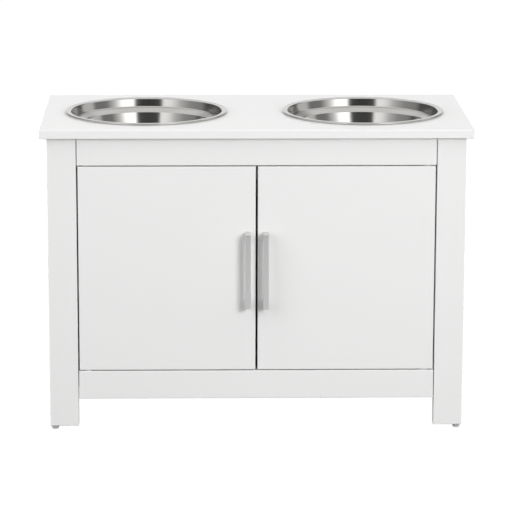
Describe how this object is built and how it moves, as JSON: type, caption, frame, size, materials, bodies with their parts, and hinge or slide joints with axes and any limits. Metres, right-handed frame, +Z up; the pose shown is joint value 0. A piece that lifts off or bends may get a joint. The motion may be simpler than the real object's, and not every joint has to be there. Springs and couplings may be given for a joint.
{
  "type": "elevated dog feeder with storage",
  "caption": "Raised pet feeding cabinet on short legs, with pivot-hung front doors, bar handles and stepped steel bowls that drop into cut-outs in its white top.",
  "frame": {"origin": "on the floor, at the centre of the whole outline", "axes": "+X across the front to the right, +Y from the front to the back, +Z up"},
  "size_m": [0.6, 0.325, 0.4329],
  "materials": {
    "white_board": "white satin lacquer on fibreboard",
    "batten_wood": "planed, unfinished",
    "dowel_wood": "fluted beech, unfinished",
    "bowl_steel": "polished stainless sheet with fine spinning rings",
    "handle_metal": "satin nickel",
    "fastener_steel": "bright zinc",
    "nylon": "moulded, satin",
    "catch_plastic": "moulded, matt",
    "magnet": "bare ferrite",
    "soft_rubber": "soft, translucent white"
  },
  "bodies": {
    "cabinet": {"top_panel": "white_board", "left_side_panel": "white_board", "right_side_panel": "white_board", "left_stile": "white_board", "right_stile": "white_board", "top_rail": "white_board", "bottom_rail": "white_board", "front_stretcher": "white_board", "rear_stretcher": "white_board", "rear_rail": "white_board", "bottom_panel": "white_board", "back_panel": "white_board", "left_top_cleat": "batten_wood", "right_top_cleat": "batten_wood", "left_bottom_cleat": "batten_wood", "right_bottom_cleat": "batten_wood", "front_cleat": "batten_wood", "side_dowels": "dowel_wood", "stile_dowels": "dowel_wood", "top_screws": "fastener_steel", "bottom_screws": "fastener_steel", "side_screws": "fastener_steel", "top_rail_screws": "fastener_steel", "bottom_rail_screws": "fastener_steel", "back_nails": "fastener_steel", "glide_nails": "fastener_steel", "catch_screws": "fastener_steel", "catch_poles": "fastener_steel", "pivot_bushes": "nylon", "leg_glides": "nylon", "catch_body": "catch_plastic", "catch_magnets": "magnet"},
    "left_door": {"left_door": "white_board", "left_pivot_pins": "fastener_steel", "left_handle": "handle_metal", "left_handle_screws": "fastener_steel", "left_strike_plate": "fastener_steel", "left_strike_screw": "fastener_steel", "left_door_bumpers": "soft_rubber"},
    "right_door": {"right_door": "white_board", "right_pivot_pins": "fastener_steel", "right_handle": "handle_metal", "right_handle_screws": "fastener_steel", "right_strike_plate": "fastener_steel", "right_strike_screw": "fastener_steel", "right_door_bumpers": "soft_rubber"},
    "left_bowl": {"left_bowl": "bowl_steel"},
    "right_bowl": {"right_bowl": "bowl_steel"}
  },
  "joints": [
    {"name": "left_door_swing", "type": "hinge", "parent": "cabinet", "child": "left_door", "pos_m": [-0.23575, -0.1305, 0.2325], "axis": [0, 0, -1], "range_deg": [0, 110]},
    {"name": "right_door_swing", "type": "hinge", "parent": "cabinet", "child": "right_door", "pos_m": [0.23575, -0.1305, 0.2325], "axis": [0, 0, 1], "range_deg": [0, 110]},
    {"name": "left_bowl_lift", "type": "slide", "parent": "cabinet", "child": "left_bowl", "axis": [0, 0, 1], "range_m": [0, 0.1]},
    {"name": "right_bowl_lift", "type": "slide", "parent": "cabinet", "child": "right_bowl", "axis": [0, 0, 1], "range_m": [0, 0.1]}
  ]
}
